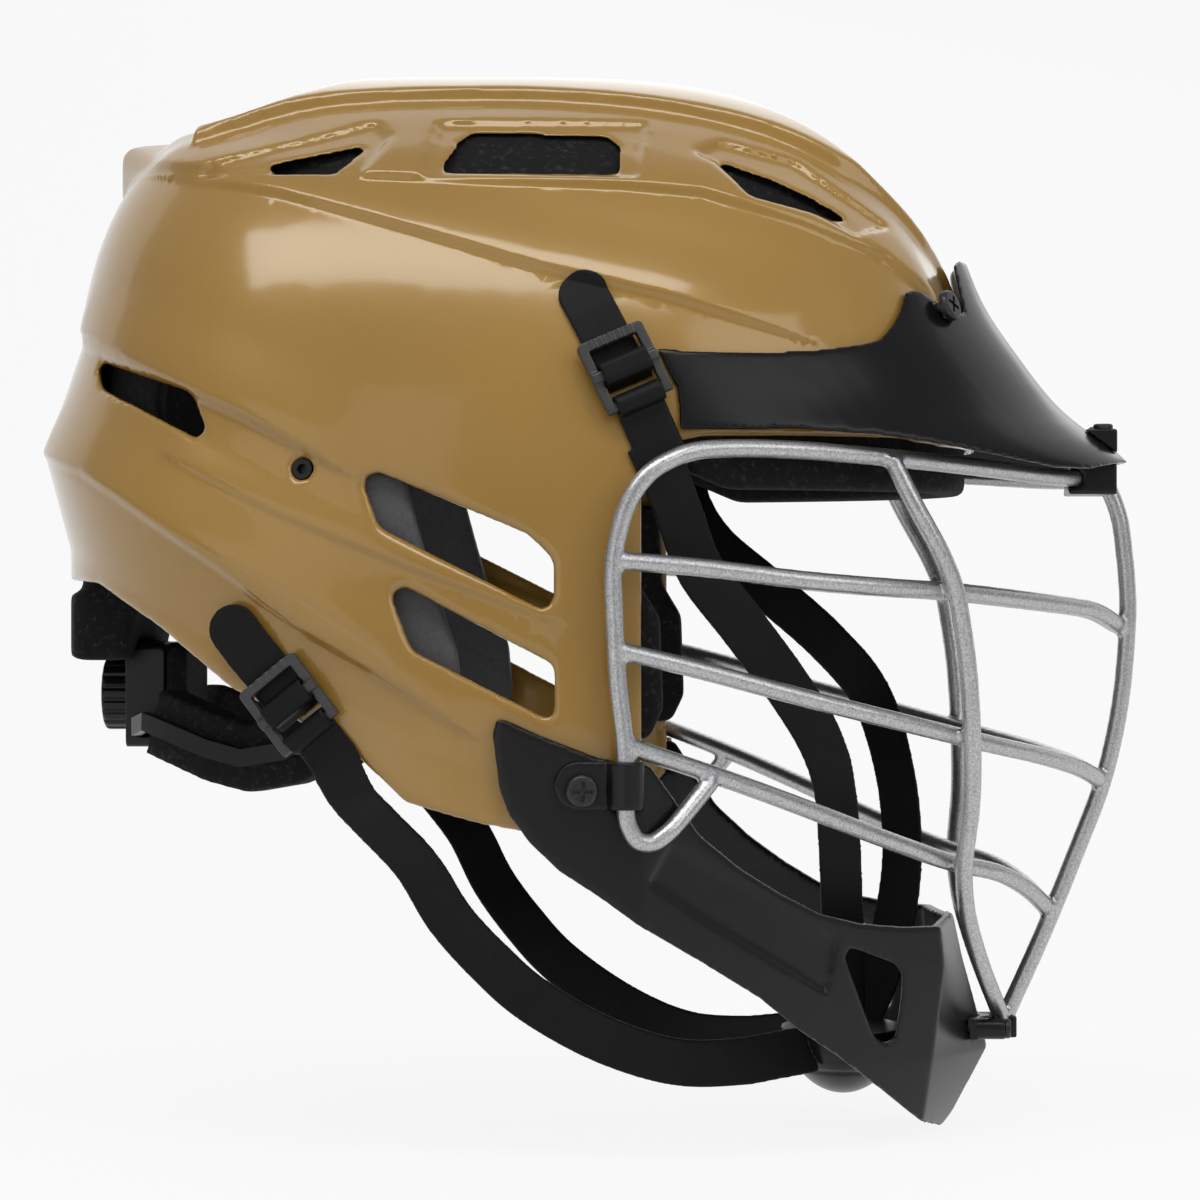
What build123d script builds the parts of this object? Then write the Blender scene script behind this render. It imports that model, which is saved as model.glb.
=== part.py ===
from build123d import *
from functools import lru_cache
import math
import os

# A lacrosse helmet, facing +X, with the wearer's left on +Y and +Z up.
# The origin is the centre of the wearer's head. Lengths are millimetres.

# Shell
station_x = -20.0
temple_z = -43.0
shell_front = 177.0
shell_rear = 120.0
shell_half_width = 114.0
crown_height = 155.0
skirt_depth = 95.0
shell_wall = 3.5
front_power = 3.2
rear_power = 3.5
side_power = 2.05
plan_power = 2.3
face_edge_setback = 71.7
step_height = 2.0
panel_step_rise = 18.8
ridge_drop = 40.6
ridge_height = 9.5
panel_tilt = 25.5
spine_rise = 4.5
spine_half_width = 37.0
tail_half_width = 26.0
deck_depth = 2.0
pivot_radius = 3.4

# Fits and small sizes shared by many pieces
seat_gap = 0.3
cut_overrun = 30.0
screw_radius = 2.2
screw_head_radius = 5.0
screw_head_height = 2.6
screw_drive_width = 1.2
small_screw_radius = 1.5
small_head_radius = 3.2

# Visor
visor_wall = 2.8
visor_tab_gap = 3.2
visor_power = 2.0
visor_clip_width = 12.5
visor_clip_wall = 2.2

# Face mask of bent wire
wire_diameter = 5.8
weld_depth = 0.9
mask_reach = 155.3
mask_half_width = 117.0
mask_drop = 186.0
mask_top_z = -10.0

# Chin guard
guard_wall = 3.5
guard_gap = 0.8
guard_length = 154.0
guard_drop = 136.5
guard_back_x = 6.5
guard_top_z = -92.0
guard_groove_depth = 1.4
throat_hole_radius = 2.0
throat_hole_depth = 2.4
throat_hole_spacing = 22.0
throat_hole_share = (0.916, 0.62)

# Mask side clips
clip_height = 14.5
clip_wall = 2.3
clip_plate = 2.6
clip_bow = 0.6
nut_height = 2.4

# Mask clip on the guard's nose
chin_clip_half_width = 14.0
chin_clip_plate = 2.4

# Plugs at the shell's sides
plug_flange_radius = 5.6

# Chin cup
cup_length = 42.0
cup_width = 62.0
cup_depth = 28.0
cup_wall = 2.2
cup_rim_drop = 6.0

# Foam pads
pad_gap = 0.4
pad_thickness = 11.0
jaw_pad_thickness = 9.0

# Webbing and ladder buckles
strap_width = 15.6
strap_thickness = 1.5
buckle_length = 24.0
buckle_margin = 3.2
buckle_thickness = 3.4
buckle_bar = 3.2
buckle_lift = 2.6

# Fit system at the nape
dial_radius = 12.0
dial_depth = 9.0
dial_centre_z = -87.0
dial_back_x = -128.0
dial_ribs = 18
pinion_teeth = 10
tooth_module = 1.2
pinion_width = 5.0
housing_length = 20.0
dial_length = 6.0
pinion_room = 3.0
housing_front_x = dial_back_x + housing_length
dial_front_x = dial_back_x + dial_length
cavity_depth = pinion_width + pinion_room
band_height = 6.0
band_thickness = 3.2
housing_half_width = 24.0
housing_height = 34.0
housing_wall = 2.4
axle_radius = 2.0
wing_start = 42.0
wing_height = 22.0
wing_thickness = 12.0

shell_length = shell_front + shell_rear
shell_back_x = station_x - shell_rear
face_edge_x = station_x + face_edge_setback
wire_radius = wire_diameter / 2


# The formula of the shell's skin, which the pads, straps and visor follow too

def reach(z, axis, height, power):
    """Half length of the level section at z, of a dome that stands on a straight skirt."""
    share = (z - temple_z) / height
    if share <= 0:
        return axis
    if share >= 1:
        return 0.0
    return axis * (1 - share**power) ** (1 / power)


def section_sizes(x, z, grow):
    """Half length and half width of the level section at z, moved outwards by grow."""
    height = crown_height + grow
    ahead = x > station_x
    axis = (shell_front if ahead else shell_rear) + grow
    length = reach(z, axis, height, front_power if ahead else rear_power)
    width = reach(z, shell_half_width + grow, height, side_power)
    return length, width


def skin_half_width(x, z, grow=0.0):
    """Distance of the skin from the centre plane at x and z."""
    length, width = section_sizes(x, z, grow)
    share = abs(x - station_x) / length if length > 0 else 1.0
    if share >= 1:
        return 0.0
    return width * (1 - share**plan_power) ** (1 / plan_power)


def skin_distance(start, direction, grow):
    """Length of a ray from a point inside to the skin, found by halving."""
    near = 0.0
    far = 2 * shell_length
    while far - near > seat_gap / 1000:
        middle = (near + far) / 2
        spot = start + direction * middle
        if abs(spot.Y) < skin_half_width(spot.X, spot.Z, grow):
            near = middle
        else:
            far = middle
    return near


def plan_ring(z, front, rear, half, power=plan_power, count=24):
    """Level closed section: two half superellipses that meet at the widest station."""
    points = []
    for index in range(count):
        angle = 2 * math.pi * index / count
        along = math.copysign(abs(math.cos(angle)) ** (2 / power), math.cos(angle))
        across = math.copysign(abs(math.sin(angle)) ** (2 / power), math.sin(angle))
        length = front if along > 0 else rear
        points.append((station_x + along * length, across * half, z))
    return make_face(Wire(Spline(*points, periodic=True)))


def tilted_ring(drop, grow, swell, count=24):
    """Section of the skin by a plane that leans down to the front, swollen at the rear."""
    lean = math.radians(panel_tilt)
    ahead = Vector(math.cos(lean), 0, -math.sin(lean))
    start = Vector(station_x, 0, temple_z + panel_step_rise - drop / math.cos(lean))
    points = []
    for index in range(count):
        angle = 2 * math.pi * index / count
        direction = ahead * math.cos(angle) + Vector(0, math.sin(angle), 0)
        fade = ((1 - math.cos(angle)) / 2) ** 2
        points.append(start + direction * (skin_distance(start, direction, grow) + swell * fade))
    return make_face(Wire(Spline(*points, periodic=True)))


def side_at(forward_share, up_share):
    """A place in side view, in shares of the shell's length and of its crown height."""
    return (shell_back_x + forward_share * shell_length, temple_z + up_share * crown_height)


def side_prism(outline, half=2 * shell_half_width, centre=0.0):
    """A side-view outline as a prism across the helmet, half to each side of centre."""
    face = Plane.XZ * make_face(Polyline(*outline, close=True))
    return Pos(0, centre, 0) * extrude(face, amount=half, both=True)


def side_cut(shares, place=side_at):
    """A prism through both sides of the helmet from an outline in shares."""
    return side_prism([place(*share) for share in shares])


def mirrored(solid):
    """The same piece on the other side of the centre plane."""
    return mirror(solid, about=Plane.XZ)


# Shell

dome_level_shares = [0.0, 0.16, 0.34, 0.5, 0.64, 0.76, 0.86, 0.925, 0.965, 0.985]
crown_profile_shares = [
    (0.047, 0.865), (0.084, 0.89), (0.138, 0.897), (0.195, 0.923), (0.249, 0.961),
    (0.303, 1.0), (0.36, 1.026), (0.418, 1.035), (0.471, 1.039), (0.539, 1.039),
    (0.606, 1.029), (0.67, 1.01), (0.737, 0.974), (0.795, 0.926), (0.838, 0.874),
    (0.882, 0.8), (0.916, 0.735), (0.943, 0.671), (0.966, 0.597), (0.983, 0.51),
]
tail_centre_shares = [
    (0.249, 0.961), (0.195, 0.923), (0.138, 0.897), (0.084, 0.89), (0.056, 0.885), (0.047, 0.865),
    (0.047, 0.79), (0.049, 0.73), (0.12, 0.7), (0.3, 0.86),
]
tail_side_shares = [
    (0.249, 0.935), (0.195, 0.895), (0.16, 0.866), (0.12, 0.845), (0.1, 0.835), (0.09, 0.82),
    (0.085, 0.78), (0.085, 0.74), (0.14, 0.7), (0.3, 0.86),
]
band_plan_shares = [(0.15, 1.2), (0.3, 1.06), (0.5, 1.0), (0.7, 0.98), (0.85, 0.92), (0.94, 0.6), (0.99, 0.06)]
shell_keep_shares = [
    (-0.1, -0.03), (0.06, -0.052), (0.09, -0.085), (0.139, -0.14), (0.185, -0.208),
    (0.221, -0.262), (0.341, -0.369), (0.402, -0.482), (0.444, -0.506), (0.48, -0.525),
    (0.52, -0.539), (0.62, -0.52), (0.645, -0.48), (0.645, 0.17), (0.66, 0.215),
    (0.7, 0.235), (0.8, 0.241), (0.9, 0.241), (0.955, 0.227), (1.2, 0.22), (1.2, 1.3), (-0.1, 1.3),
]
vent_outline_shares = [
    [(0.226, 0.771), (0.345, 0.837), (0.317, 0.772)],
    [(0.429, 0.774), (0.446, 0.849), (0.456, 0.868), (0.597, 0.865), (0.61, 0.842), (0.612, 0.769)],
    [(0.714, 0.807), (0.774, 0.766), (0.814, 0.728), (0.861, 0.674), (0.75, 0.727)],
    [(0.362, 0.161), (0.375, 0.165), (0.528, 0.043), (0.553, -0.006), (0.553, -0.085),
     (0.544, -0.102), (0.377, 0.059), (0.361, 0.137)],
    [(0.389, -0.073), (0.402, -0.059), (0.555, -0.214), (0.555, -0.314), (0.546, -0.314),
     (0.416, -0.186), (0.41, -0.175)],
    [(0.051, 0.407), (0.172, 0.327), (0.189, 0.256), (0.182, 0.238), (0.062, 0.349)],
]
deck_outline_shares = [
    [(0.15, 0.775), (0.35, 0.9), (0.37, 0.86), (0.345, 0.765)],
    [(0.405, 0.765), (0.42, 0.9), (0.64, 0.9), (0.635, 0.76)],
    [(0.69, 0.83), (0.72, 0.86), (0.8, 0.82), (0.9, 0.68), (0.86, 0.65)],
]
pivot_share = (0.294, 0.175)


@lru_cache
def dome(grow):
    """The smooth body under the shell's skin, moved outwards by grow."""
    height = crown_height + grow
    sizes = (shell_front + grow, shell_rear + grow, shell_half_width + grow)
    rings = []
    for share in dome_level_shares:
        z = temple_z + share * height
        powers = (front_power, rear_power, side_power)
        rings.append(plan_ring(z, *[reach(z, size, height, power) for size, power in zip(sizes, powers)]))
    foot = temple_z - skirt_depth - cut_overrun
    return extrude(plan_ring(foot, *sizes), amount=temple_z - foot) + loft(rings)


def under_crown(drop):
    """Everything below the side-view line of the crown, lowered by drop."""
    top = [side_at(*share) for share in crown_profile_shares]
    ahead = shell_length + cut_overrun
    low = temple_z - crown_height
    first, last = top[0], top[-1]
    corners = [last, (ahead, last[1]), (ahead, low), (-ahead, low), (-ahead, first[1] - drop), first]
    face = make_face(Wire([*Spline(*top).edges(), *Polyline(*corners).edges()]))
    body = extrude(Plane.XZ * face, amount=2 * shell_half_width, both=True)
    return Pos(0, 0, -drop) * body


def step_keep():
    """Everything above the plane where the upper panel overlaps the lower one."""
    lean = math.radians(panel_tilt)
    plane = Plane(origin=(station_x, 0, temple_z + panel_step_rise), x_dir=(0, 1, 0), z_dir=(math.sin(lean), 0, math.cos(lean)))
    size = 4 * shell_length
    return plane * Box(size, size, size, align=(Align.CENTER, Align.CENTER, Align.MIN))


@lru_cache
def lower_body(grow):
    """The lower panel: a step in, a bumper ridge at the rear, and a straight skirt."""
    rings = [
        tilted_ring(0, grow, -step_height),
        tilted_ring(ridge_drop, grow, ridge_height),
        tilted_ring(ridge_drop * 1.6, grow, 0),
        tilted_ring(ridge_drop * 3.2, grow, 0),
    ]
    return loft(rings, ruled=True)


@lru_cache
def spine_band():
    """The raised band along the crown, which narrows to a point over the brow."""
    right = [(side_at(u, 0)[0], -share * spine_half_width) for u, share in band_plan_shares]
    left = [(x, -y) for x, y in reversed(right)]
    plan = make_face(Polyline(*right, *left, close=True))
    column = extrude(plan, amount=2 * crown_height)
    return dome(spine_rise) & under_crown(0) & column


def tail():
    """The lip where the crown ends at the back, lower and blunter towards its sides."""
    halves = []
    for shares, y in ((tail_centre_shares, 0.0), (tail_side_shares, -tail_half_width)):
        outline = Polyline(*[side_at(*share) for share in shares], close=True)
        halves.append(Pos(0, y, 0) * (Plane.XZ * make_face(outline)))
    side = loft(halves, ruled=True)
    return side + mirrored(side)


def shell():
    """One moulded shell with two side panels, a crown band, vents and a face opening."""
    outer = (dome(0) & step_keep() & under_crown(0)) + lower_body(0) + spine_band() + tail()
    inner = (dome(-shell_wall) & step_keep() & under_crown(1.3 * shell_wall)) + lower_body(-shell_wall)
    body = outer - inner
    body &= side_cut(shell_keep_shares)
    skin = dome(spine_rise) - dome(-deck_depth)
    for shares in deck_outline_shares:
        pocket = skin & side_cut(shares)
        body -= pocket
    for shares in vent_outline_shares:
        body -= side_cut(shares)
    body -= screw_bores(pivot_share, pivot_radius)
    body -= screw_bores(visor_screw_share, screw_radius + seat_gap)
    bore = clip_screw_plane() * Cylinder(screw_radius + seat_gap, 8 * shell_wall)
    return body - bore - mirrored(bore)


# Places on the skin, seen on the wearer's right

def skin_spot(share, grow):
    """A point on the right side of the skin, and the outward direction there."""
    x, z = side_at(*share)
    near = shell_wall
    slope_x = (skin_half_width(x + near, z) - skin_half_width(x - near, z)) / (2 * near)
    slope_z = (skin_half_width(x, z + near) - skin_half_width(x, z - near)) / (2 * near)
    normal = Vector(-slope_x, -1, -slope_z).normalized()
    return Vector(x, -skin_half_width(x, z), z) + normal * grow, normal


def skin_plane(share, grow, toward=None):
    """A plane on the skin that faces outwards, turned towards a second place when one is given."""
    spot, normal = skin_spot(share, grow)
    ahead = Vector(1, 0, 0) if toward is None else skin_spot(toward, grow)[0] - spot
    ahead = (ahead - normal * ahead.dot(normal)).normalized()
    return Plane(origin=spot, x_dir=ahead, z_dir=normal)


def screw_bores(share, radius):
    """A bore through the wall on each side, square to the skin."""
    bore = skin_plane(share, 0) * Cylinder(radius, 8 * shell_wall)
    return bore + mirrored(bore)


def screw(plane, grip, head_radius=screw_head_radius, radius=screw_radius):
    """A pan-head screw with a cross drive, its head on the plane and its shank through grip."""
    height = head_radius * screw_head_height / screw_head_radius
    head = Cylinder(head_radius, height, align=(Align.CENTER, Align.CENTER, Align.MIN))
    head = fillet(head.edges().sort_by(Axis.Z)[-1], height / 2)
    shank = Cylinder(radius, grip, align=(Align.CENTER, Align.CENTER, Align.MAX))
    slot = Box(1.2 * head_radius, screw_drive_width, height)
    drive = Pos(0, 0, height) * (slot + Rot(0, 0, 90) * slot)
    return plane * (head + shank - drive)


def ribbon(spots, normals, width, thickness):
    """A flat band through the spots, its faces turned to the normals."""
    sections = []
    for index, spot in enumerate(spots):
        before = spots[max(index - 1, 0)]
        after = spots[min(index + 1, len(spots) - 1)]
        along = (after - before).normalized()
        across = along.cross(normals[index]).normalized()
        sections.append(Plane(origin=spot, x_dir=across, z_dir=along) * Rectangle(width, thickness))
    return loft(sections, ruled=True)


# Visor

visor_profile_shares = [
    (1.165, 0.13), (1.165, 0.205), (1.099, 0.305), (1.069, 0.367), (1.047, 0.424),
    (1.025, 0.483), (1.003, 0.555), (0.985, 0.64), (0.975, 0.72),
]
visor_outline_shares = [
    (0.683, 0.251), (0.806, 0.254), (0.89, 0.244), (0.966, 0.223), (1.019, 0.205), (1.075, 0.185),
    (1.116, 0.184), (1.149, 0.199), (1.165, 0.205), (1.3, 0.216), (1.3, 0.65), (0.99, 0.63), (0.978, 0.626),
    (0.971, 0.615), (0.983, 0.505), (0.945, 0.535), (0.932, 0.553), (0.917, 0.546), (0.912, 0.507),
    (0.904, 0.475), (0.89, 0.442), (0.869, 0.43), (0.827, 0.418), (0.765, 0.409), (0.657, 0.414),
    (0.68, 0.33),
]
visor_screw_share = (0.945, 0.506)
visor_clip_share = (1.136, 0.274)


def visor_body(inset):
    """The solid under the visor's outer face, moved inwards by inset."""
    rings = []
    proud = seat_gap + visor_wall - inset
    for forward, up in visor_profile_shares:
        x, z = side_at(forward, up)
        half = reach(z, shell_half_width, crown_height, side_power) + proud
        rings.append(plan_ring(z, x - station_x - inset, shell_rear, half, visor_power))
    return loft(rings)


def visor():
    """A thin moulded brim over the brow, with a tab each side and a stem in the middle."""
    body = (visor_body(0) - visor_body(visor_wall)) & side_cut(visor_outline_shares)
    body = body - dome(seat_gap) - spine_band()
    body -= screw_bores(visor_screw_share, screw_radius + seat_gap)
    for side in (-1, 1):
        body -= visor_clip_screw_plane(side) * Cylinder(small_screw_radius + seat_gap, 8 * visor_wall)
    return body.solids().sort_by(SortBy.VOLUME)[-1]


def visor_screws():
    """The screws that hold the visor's side tabs to the shell."""
    grow = seat_gap + visor_wall + visor_tab_gap
    one = screw(skin_plane(visor_screw_share, grow), grow + shell_wall + 1.5 * seat_gap)
    return one + mirrored(one)




# Face mask

rim_shares = [
    (0.947, 0.0, 0.036), (0.846, 0.172, 0.036), (0.631, 0.472, 0.019), (0.467, 0.67, 0.009),
    (0.307, 0.798, 0.0), (0.19, 0.867, -0.002), (0.093, 0.927, 0.003), (0.015, 0.975, 0.036),
    (-0.032, 0.998, 0.093), (-0.058, 1.0, 0.183), (-0.048, 1.0, 0.38), (-0.03, 1.0, 0.49), (-0.03, 1.0, 0.61),
    (-0.008, 0.99, 0.643), (0.022, 0.972, 0.645), (0.055, 0.955, 0.625), (0.092, 0.912, 0.588), (0.133, 0.862, 0.545),
]
centre_bar_shares = [
    (0.947, 0.0, 0.036), (0.979, 0.0, 0.1), (0.999, 0.0, 0.25), (0.983, 0.0, 0.424),
    (0.947, 0.0, 0.565), (0.821, 0.0, 0.83), (0.727, 0.0, 1.002),
]
row_shares = {
    "upper": [(-0.058, 1.0, 0.183), (0.112, 0.927, 0.194), (0.307, 0.841, 0.215), (0.466, 0.738, 0.226),
              (0.628, 0.567, 0.234), (0.82, 0.3, 0.253), (0.925, 0.129, 0.265), (0.985, 0.0, 0.3)],
    "middle": [(-0.0505, 1.0, 0.329), (0.112, 0.91, 0.362), (0.307, 0.807, 0.408), (0.506, 0.67, 0.451),
               (0.681, 0.498, 0.49), (0.798, 0.326, 0.514), (0.89, 0.155, 0.54), (0.945, 0.0, 0.57)],
    "lower": [(-0.031, 1.0, 0.484), (0.169, 0.824, 0.545), (0.307, 0.67, 0.592), (0.448, 0.532, 0.643),
              (0.613, 0.369, 0.698), (0.72, 0.223, 0.719), (0.786, 0.103, 0.755), (0.835, 0.0, 0.8)],
}
side_bar_shares = [
    (0.49, 0.66, 0.012), (0.53, 0.68, 0.081), (0.59, 0.66, 0.17), (0.62, 0.638, 0.23), (0.645, 0.61, 0.36),
    (0.653, 0.592, 0.475), (0.655, 0.53, 0.585), (0.638, 0.405, 0.71), (0.648, 0.31, 0.79),
    (0.68, 0.19, 0.88), (0.73, 0.03, 0.985),
]


def mask_at(forward, out, down):
    """A place on the wearer's right side of the mask, in shares of its sizes."""
    return Vector(face_edge_x + forward * mask_reach, -out * mask_half_width, mask_top_z - down * mask_drop)


def wire(points, radius=wire_diameter / 2):
    """A round wire bent along straight runs, with the largest arcs that its runs allow."""
    radii = []
    for before, corner, after in zip(points, points[1:], points[2:]):
        turn = math.radians((corner - before).get_angle(after - corner))
        shorter = min((corner - before).length, (after - corner).length)
        radii.append(0.45 * shorter / math.tan(turn / 2))
    path = FilletPolyline(*points, radius=radii)
    start = Plane(origin=path @ 0, z_dir=path % 0)
    return sweep(start * Circle(radius), path=path)


def both_sides(shares):
    """Points of a wire that runs from the right side over the middle to the left side."""
    right = [mask_at(*share) for share in shares]
    left = [Vector(point.X, -point.Y, point.Z) for point in right]
    if abs(right[0].Y) < wire_radius:
        return list(reversed(right)) + left[1:]
    return right + list(reversed(left))[1:]


@lru_cache
def mask_rim():
    """The outer wire: over the brow, down each side and hooked up to the lowest row."""
    return wire(both_sides(rim_shares))


@lru_cache
def mask_centre_bar():
    """The upright wire in the middle, welded to the rim at its top."""
    return wire([mask_at(*share) for share in centre_bar_shares]) - mask_rim()


@lru_cache
def mask_side_bar():
    """The upright wire on the right, which meets the middle one at the bottom."""
    bar = wire([mask_at(*share) for share in side_bar_shares])
    bar = bar - mask_rim() - mask_centre_bar()
    return bar.solids().sort_by(SortBy.VOLUME)[-1]


def mask_row(level):
    """A wire that runs round the face from rim to rim, saddled where uprights cross it."""
    row = wire(both_sides(row_shares[level]))
    row = row - mask_rim() - mask_centre_bar() - mask_side_bar() - mirrored(mask_side_bar())
    return row


# Chin guard

guard_outline_shares = [
    (-0.0, 0.037), (0.007, 0.004), (0.023, 0.002), (0.092, 0.037), (0.21, 0.089), (0.308, 0.105),
    (0.405, 0.265), (0.483, 0.342), (0.563, 0.403), (0.643, 0.453), (0.725, 0.48), (0.807, 0.492),
    (0.896, 0.495), (0.92, 0.49), (1.1, 0.49), (1.1, 0.81), (1.005, 0.88), (0.924, 0.969),
    (0.899, 0.999), (0.853, 0.964), (0.767, 0.873), (0.684, 0.79), (0.602, 0.72), (0.522, 0.639),
    (0.403, 0.547), (0.285, 0.461), (0.208, 0.397), (0.13, 0.339), (0.072, 0.276), (0.033, 0.215), (0.014, 0.159),
]
guard_pocket_shares = [
    (0.349, 0.28), (0.523, 0.401), (0.643, 0.494), (0.68, 0.51), (0.66, 0.64), (0.522, 0.536),
    (0.403, 0.449), (0.305, 0.366),
]
guard_vent_shares = [
    (0.694, 0.556), (0.704, 0.533), (0.797, 0.578), (0.812, 0.608), (0.808, 0.667), (0.798, 0.75),
    (0.777, 0.765), (0.756, 0.748), (0.735, 0.687),
]
guard_level_shares = [
    (0.0, 0.91, 0.885, 0.44), (0.43, 0.915, 0.885, 0.44), (0.59, 0.945, 0.9, 0.41), (0.81, 1.0, 0.875, 0.37),
    (1.02, 0.9, 0.85, 0.26),
]
clip_screw_share = (0.17, 0.16)


def guard_at(forward, down):
    """A place in side view on the chin guard, in shares of its length and its drop."""
    return (guard_back_x + forward * guard_length, guard_top_z - down * guard_drop)


def skirt(grow):
    """The straight part of the skin alone, below the temple line."""
    foot = guard_top_z - guard_drop
    ring = plan_ring(foot, shell_front + grow, shell_rear + grow, shell_half_width + grow)
    return extrude(ring, amount=temple_z - foot)


def guard_flanks(inset):
    """The wedge from the cheeks to the chin, its walls moved inwards by inset."""
    rings = []
    half = skin_half_width(face_edge_x, temple_z, guard_gap + guard_wall) - inset
    back = face_edge_x - (cut_overrun if inset else 0)
    for down, nose, corner, out in guard_level_shares:
        z = guard_at(0, down)[1]
        nose_x = guard_at(nose, 0)[0] - 1.1 * inset
        corner_x = guard_at(corner, 0)[0] - inset
        corner_y = out * shell_half_width - 0.8 * inset
        right = [(back, -half, z), (face_edge_x + seat_gap, -half, z), (corner_x, -corner_y, z), (nose_x, 0, z)]
        left = [(x, -y, z) for x, y, z in reversed(right[:-1])]
        rings.append(make_face(Polyline(*right, *left, close=True)))
    return loft(rings, ruled=True)


def clip_spot():
    """Where the mask's rim passes through the side clip, on the right."""
    return mask_at(-0.03, 1.0, 0.55)


def chin_guard():
    """One moulding: cheek plates outside the shell, and a wedge forward to the chin."""
    plates = skirt(guard_gap + guard_wall) - skirt(guard_gap)
    margin = Pos(face_edge_x, 0, guard_top_z) * Box(
        2 * shell_length, 4 * shell_half_width, 4 * guard_drop, align=(Align.MAX, Align.CENTER, Align.CENTER))
    body = (guard_flanks(0) - guard_flanks(guard_wall)) + (plates & margin)
    body &= side_cut(guard_outline_shares, guard_at)
    groove = guard_flanks(0) - guard_flanks(guard_groove_depth)
    body -= groove & side_cut(guard_pocket_shares, guard_at)
    body -= side_cut(guard_vent_shares, guard_at)
    spot = clip_spot()
    trough = Pos(spot.X, spot.Y, spot.Z) * Cylinder(clip_loop_radius() + seat_gap, clip_height + 2 * seat_gap)
    bores = clip_screw_plane() * Cylinder(screw_radius + seat_gap, 6 * guard_wall)
    for cut in (trough, bores):
        body = body - cut - mirrored(cut)
    for side in (-1, 1):
        body -= throat_plane(side) * Cylinder(throat_hole_radius, 2 * throat_hole_depth)
        body -= chin_clip_screw_plane(side) * Cylinder(small_screw_radius + seat_gap, 8 * guard_wall)
    return body.solids().sort_by(SortBy.VOLUME)[-1]


def throat_plane(side):
    """Plane of a blind fixing hole low on the chin, on the inner face."""
    x, z = guard_at(*throat_hole_share)
    return Plane(origin=(x, side * throat_hole_spacing / 2, z), z_dir=(-1, 0, 0))


# Side clips of the mask

def clip_loop_radius():
    return wire_radius + seat_gap + clip_wall


def clip_screw_plane():
    """Plane of the side clip's screw, on the outer face of the guard's cheek plate."""
    x, z = guard_at(*clip_screw_share)
    share = ((x - shell_back_x) / shell_length, (z - temple_z) / crown_height)
    return skin_plane(share, guard_gap + guard_wall)


def side_clip():
    """A folded strap clip: a tongue on the guard and a loop round the rim wire."""
    spot = clip_spot()
    screw_x, screw_z = guard_at(*clip_screw_share)
    end_radius = clip_height / 2
    xs = [screw_x - end_radius + share * (spot.X - screw_x + end_radius) for share in (0.0, 0.35, 0.7, 0.9)]
    inner = [(x, -skin_half_width(x, temple_z, seat_gap + guard_gap + guard_wall)) for x in xs]
    outer = [(x, y - clip_plate) for x, y in reversed(inner)]
    plan = make_face(Polyline(*inner, (spot.X, spot.Y + wire_radius), (spot.X, spot.Y - clip_plate), *outer, close=True))
    plan += Pos(spot.X, spot.Y) * Circle(clip_loop_radius())
    plan -= Pos(spot.X, spot.Y) * Circle(wire_radius + seat_gap)
    body = Pos(0, 0, spot.Z - clip_height / 2) * extrude(plan, amount=clip_height)
    reach_x = spot.X + 2 * clip_loop_radius()
    keep = Plane.XZ * (Pos(screw_x, spot.Z) * Circle(end_radius)
                       + Pos((screw_x + reach_x) / 2, spot.Z) * Rectangle(reach_x - screw_x, clip_height))
    body &= extrude(keep, amount=2 * shell_half_width, both=True)
    body -= clip_screw_plane() * Cylinder(screw_radius + seat_gap, 6 * guard_wall)
    return body.solids().sort_by(SortBy.VOLUME)[-1]


def side_clip_screws():
    """The screws through each side clip, guard and shell, each with its nut inside."""
    plane = clip_screw_plane()
    head = plane.offset(clip_plate + 2 * seat_gap + clip_bow)
    grip = clip_plate + clip_bow + 2 * seat_gap + guard_wall + guard_gap + shell_wall + nut_height
    one = screw(head, grip)
    return one + mirrored(one)


def side_clip_nuts():
    """Flanged nuts on the inner face of the shell."""
    plane = clip_screw_plane().offset(-(guard_wall + guard_gap + seat_gap + shell_wall + clip_bow))
    nut = Cylinder(1.6 * screw_head_radius, nut_height, align=(Align.CENTER, Align.CENTER, Align.MAX))
    nut -= Cylinder(screw_radius + seat_gap / 3, 4 * nut_height)
    one = plane * nut
    return one + mirrored(one)




# Small pieces that hold the mask and the visor together

visor_clip_shares = (1.098, 1.151)


def box_between(low, high):
    """A box from its low corner to its high corner."""
    size = [end - start for start, end in zip(low, high)]
    middle = [(start + end) / 2 for start, end in zip(low, high)]
    return Pos(*middle) * Box(*size)


def visor_clip_screw_plane(side):
    """Plane of a small screw through the peak, on top of the peak's plate."""
    x, z = side_at(*visor_clip_share)
    return Plane(origin=(x, side * visor_clip_width, z), z_dir=(0, 0, 1))


def visor_clip():
    """A wedge on top of the visor's peak with a flat seat for its two screws."""
    back, front = [side_at(share, 0)[0] for share in visor_clip_shares]
    seat = visor_clip_screw_plane(1)
    half = visor_clip_width + small_head_radius + seat_gap
    body = box_between((back, -half, temple_z), (front, half, seat.origin.Z)) - visor_body(-seat_gap)
    for side in (-1, 1):
        body -= visor_clip_screw_plane(side) * Cylinder(small_screw_radius + seat_gap, 8 * visor_clip_wall)
    return body.solids().sort_by(Axis.Z)[-1]


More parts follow.
